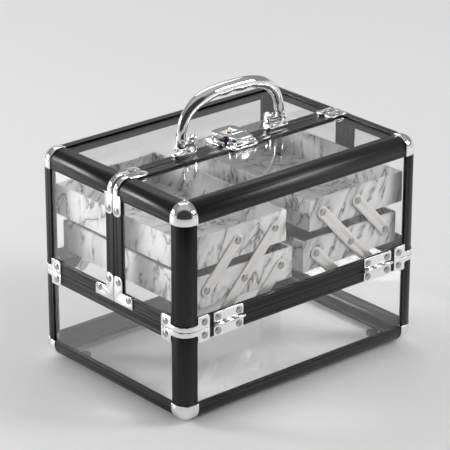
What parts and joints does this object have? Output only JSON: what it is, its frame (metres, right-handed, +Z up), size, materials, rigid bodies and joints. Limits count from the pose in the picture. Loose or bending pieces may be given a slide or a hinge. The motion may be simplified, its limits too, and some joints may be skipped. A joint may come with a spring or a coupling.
{
  "type": "makeup train case",
  "caption": "Clear acrylic make-up train case with a black aluminium frame, a lid split into hinged halves, a carry handle, a latch and cantilever trays.",
  "frame": {"origin": "middle of the footprint, on the surface that the rubber feet rest on", "axes": "+X to the right along the hinges, -Y the front side with the hinges of the front lid half, +Z up"},
  "size_m": [0.2534, 0.1868, 0.235],
  "materials": {
    "black_frame": "satin black anodised",
    "clear_acrylic": "clear polished",
    "chrome": "polished",
    "satin_nickel": "satin",
    "marble_laminate": "white marble pattern with grey veins",
    "brass": "polished",
    "rubber": "matte"
  },
  "bodies": {
    "base": {"base_bottom_rails": "black_frame", "base_rim_rails": "black_frame", "base_corner_posts": "black_frame", "base_ball_corners": "chrome", "base_rim_brackets": "chrome", "base_front_panel": "clear_acrylic", "base_back_panel": "clear_acrylic", "base_left_panel": "clear_acrylic", "base_right_panel": "clear_acrylic", "base_bottom_panel": "clear_acrylic", "rubber_feet": "rubber", "hinge_base_leaves": "chrome", "hinge_pins": "chrome", "base_rivets": "chrome", "tray_pivot_spacers": "satin_nickel"},
    "front_lid": {"front_lid_top_rails": "black_frame", "front_lid_corner_posts": "black_frame", "front_lid_rim_rails": "black_frame", "front_lid_split_posts": "black_frame", "front_lid_split_bar": "black_frame", "front_lid_ball_corners": "chrome", "front_lid_rim_brackets": "chrome", "front_lid_fan_brackets": "chrome", "front_lid_saddle_brackets": "chrome", "front_lid_long_panel": "clear_acrylic", "front_lid_top_panel": "clear_acrylic", "front_lid_side_panels": "clear_acrylic", "front_lid_hinge_leaves": "chrome", "front_lid_rivets": "chrome", "latch_plate": "chrome"},
    "back_lid": {"back_lid_top_rails": "black_frame", "back_lid_corner_posts": "black_frame", "back_lid_rim_rails": "black_frame", "back_lid_split_posts": "black_frame", "back_lid_split_bar": "black_frame", "back_lid_ball_corners": "chrome", "back_lid_rim_brackets": "chrome", "back_lid_fan_brackets": "chrome", "back_lid_saddle_brackets": "chrome", "back_lid_long_panel": "clear_acrylic", "back_lid_top_panel": "clear_acrylic", "back_lid_side_panels": "clear_acrylic", "back_lid_hinge_leaves": "chrome", "back_lid_rivets": "chrome", "lock_body": "chrome", "handle_brackets": "chrome"},
    "handle": {"handle": "chrome"},
    "latch_hasp": {"latch_hasp": "chrome"},
    "lock_plug": {"lock_plug": "brass"},
    "left_long_arms": {"left_long_arms": "satin_nickel"},
    "left_lower_tray": {"left_lower_tray": "marble_laminate"},
    "left_upper_tray": {"left_upper_tray": "marble_laminate"},
    "left_lower_short_arms": {"left_lower_short_arms": "satin_nickel"},
    "left_upper_short_arms": {"left_upper_short_arms": "satin_nickel"},
    "right_long_arms": {"right_long_arms": "satin_nickel"},
    "right_lower_tray": {"right_lower_tray": "marble_laminate"},
    "right_upper_tray": {"right_upper_tray": "marble_laminate"},
    "right_lower_short_arms": {"right_lower_short_arms": "satin_nickel"},
    "right_upper_short_arms": {"right_upper_short_arms": "satin_nickel"}
  },
  "joints": [
    {"name": "front_lid_hinge", "type": "hinge", "parent": "base", "child": "front_lid", "pos_m": [0, -0.0919, 0.08], "axis": [1, 0, 0], "range_deg": [0, 130]},
    {"name": "back_lid_hinge", "type": "hinge", "parent": "base", "child": "back_lid", "pos_m": [0, 0.0919, 0.08], "axis": [-1, 0, 0], "range_deg": [0, 130]},
    {"name": "handle_pivot", "type": "hinge", "parent": "back_lid", "child": "handle", "pos_m": [0, -0.0005, 0.1902], "axis": [-1, 0, 0], "range_deg": [0, 84]},
    {"name": "hasp_pivot", "type": "hinge", "parent": "front_lid", "child": "latch_hasp", "pos_m": [0, -0.0175, 0.18625], "axis": [1, 0, 0], "range_deg": [0, 110]},
    {"name": "lock_turn", "type": "hinge", "parent": "back_lid", "child": "lock_plug", "pos_m": [0, 0.002, 0.19], "axis": [0, 0, 1], "range_deg": [0, 90]},
    {"name": "left_bank_swing", "type": "hinge", "parent": "base", "child": "left_long_arms", "pos_m": [-0.0887, 0, 0.0732], "axis": [0, -1, 0], "range_deg": [-9, 3]},
    {"name": "left_lower_tray_pivot", "type": "hinge", "parent": "left_long_arms", "child": "left_lower_tray", "pos_m": [-0.057, 0, 0.1066], "axis": [0, -1, 0], "range_deg": [-3, 9]},
    {"name": "left_upper_tray_pivot", "type": "hinge", "parent": "left_long_arms", "child": "left_upper_tray", "pos_m": [-0.0253, 0, 0.14], "axis": [0, -1, 0], "range_deg": [-3, 9]},
    {"name": "left_lower_arm_swing", "type": "hinge", "parent": "base", "child": "left_lower_short_arms", "pos_m": [-0.0505, 0, 0.0732], "axis": [0, -1, 0], "range_deg": [-9, 3]},
    {"name": "left_upper_arm_swing", "type": "hinge", "parent": "left_lower_tray", "child": "left_upper_short_arms", "pos_m": [-0.0952, 0, 0.1066], "axis": [0, -1, 0], "range_deg": [-9, 3]},
    {"name": "right_bank_swing", "type": "hinge", "parent": "base", "child": "right_long_arms", "pos_m": [0.0887, 0, 0.0732], "axis": [0, 1, 0], "range_deg": [-9, 3]},
    {"name": "right_lower_tray_pivot", "type": "hinge", "parent": "right_long_arms", "child": "right_lower_tray", "pos_m": [0.057, 0, 0.1066], "axis": [0, 1, 0], "range_deg": [-3, 9]},
    {"name": "right_upper_tray_pivot", "type": "hinge", "parent": "right_long_arms", "child": "right_upper_tray", "pos_m": [0.0253, 0, 0.14], "axis": [0, 1, 0], "range_deg": [-3, 9]},
    {"name": "right_lower_arm_swing", "type": "hinge", "parent": "base", "child": "right_lower_short_arms", "pos_m": [0.0505, 0, 0.0732], "axis": [0, 1, 0], "range_deg": [-9, 3]},
    {"name": "right_upper_arm_swing", "type": "hinge", "parent": "right_lower_tray", "child": "right_upper_short_arms", "pos_m": [0.0952, 0, 0.1066], "axis": [0, 1, 0], "range_deg": [-9, 3]}
  ],
  "couplings": [
    {"joint": "left_lower_tray_pivot", "follows": "left_bank_swing", "ratio": -1},
    {"joint": "left_upper_tray_pivot", "follows": "left_bank_swing", "ratio": -1},
    {"joint": "left_lower_arm_swing", "follows": "left_bank_swing", "ratio": 1},
    {"joint": "left_upper_arm_swing", "follows": "left_bank_swing", "ratio": 1},
    {"joint": "right_lower_tray_pivot", "follows": "right_bank_swing", "ratio": -1},
    {"joint": "right_upper_tray_pivot", "follows": "right_bank_swing", "ratio": -1},
    {"joint": "right_lower_arm_swing", "follows": "right_bank_swing", "ratio": 1},
    {"joint": "right_upper_arm_swing", "follows": "right_bank_swing", "ratio": 1}
  ]
}
